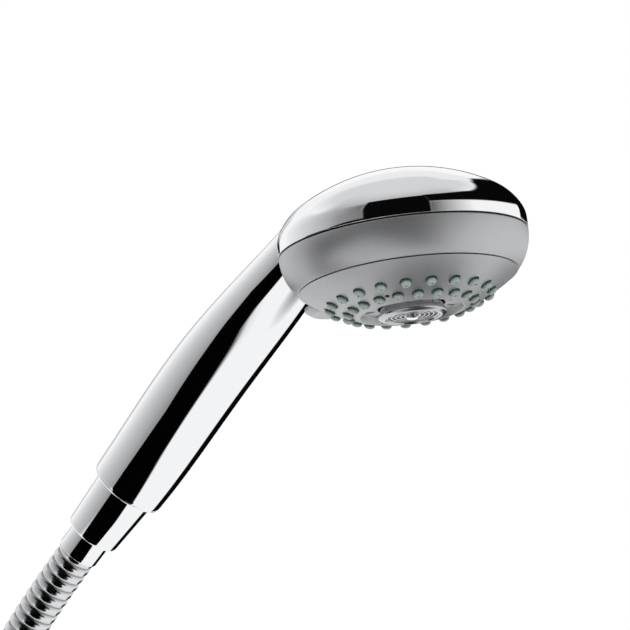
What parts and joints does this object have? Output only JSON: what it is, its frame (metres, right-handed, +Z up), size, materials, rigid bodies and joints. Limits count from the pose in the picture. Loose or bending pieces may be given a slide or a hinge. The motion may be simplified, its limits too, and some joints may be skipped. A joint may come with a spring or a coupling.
{
  "type": "handheld shower head",
  "caption": "Handheld shower head with a domed chrome back, turning multi-jet spray face, belly-shaped chrome handle, cone nut and coiled metal spiral hose.",
  "frame": {"origin": "middle of the cone nut on its axis, where a wall holder grips it", "axes": "+Z up along the head's axis with the spray pointing down, +X from the hose to the front of the head"},
  "size_m": [0.325, 0.1022, 0.375],
  "materials": {
    "chrome_plate": "polished",
    "chrome_hose_wrap": "polished, wound strip",
    "satin_grey_plastic": "satin, metallic grey",
    "black_rubber": "moulded",
    "white_plastic": "moulded",
    "brass": "turned",
    "stainless_steel": "plain",
    "hose_liner": "extruded",
    "nozzle_silicone": "translucent grey-green",
    "tie_strap": "woven hook and loop"
  },
  "bodies": {
    "handset": {"dome_cover": "chrome_plate", "handle_shell": "chrome_plate", "hose_ferrule": "chrome_plate", "wall_ferrule": "chrome_plate", "hose_lead": "chrome_hose_wrap", "hose_coil": "chrome_hose_wrap", "head_housing": "satin_grey_plastic", "seam_gasket": "black_rubber", "distributor_gasket": "black_rubber", "port_seal": "black_rubber", "tube_o_rings": "black_rubber", "inlet_washer": "black_rubber", "distributor_plate": "white_plastic", "flow_limiter": "white_plastic", "water_tube": "white_plastic", "inlet_nipple": "brass", "hose_insert": "brass", "wall_insert": "brass", "plate_screws": "stainless_steel", "face_screw": "stainless_steel", "detent_spring": "stainless_steel", "lead_liner": "hose_liner", "coil_liner": "hose_liner", "hose_tie": "tie_strap"},
    "selector": {"spray_face": "satin_grey_plastic", "nozzle_mat": "nozzle_silicone", "diverter_disc": "white_plastic", "jet_disc": "satin_grey_plastic", "centre_cap": "chrome_plate"},
    "cone_nut": {"cone_nut": "chrome_plate"},
    "wall_nut": {"wall_nut": "chrome_plate", "wall_washer": "black_rubber"},
    "detent": {"detent_plunger": "white_plastic"}
  },
  "joints": [
    {"name": "selector_turn", "type": "hinge", "parent": "handset", "child": "selector", "pos_m": [0.15857, 0, 0.06721], "axis": [0, 0, 1], "range_deg": [-30, 30]},
    {"name": "cone_nut_spin", "type": "hinge", "parent": "handset", "child": "cone_nut", "pos_m": [0, 0, 0], "axis": [0.8251, 0, 0.565], "continuous": true},
    {"name": "wall_nut_spin", "type": "hinge", "parent": "handset", "child": "wall_nut", "pos_m": [-0.10454, 0.0422, -0.22478], "axis": [0, 0, 1], "continuous": true},
    {"name": "detent_slide", "type": "slide", "parent": "handset", "child": "detent", "axis": [0, 0, -1], "range_m": [0, 0.0007], "stiffness_N_per_m": 800, "deforming": ["detent_spring"]}
  ]
}
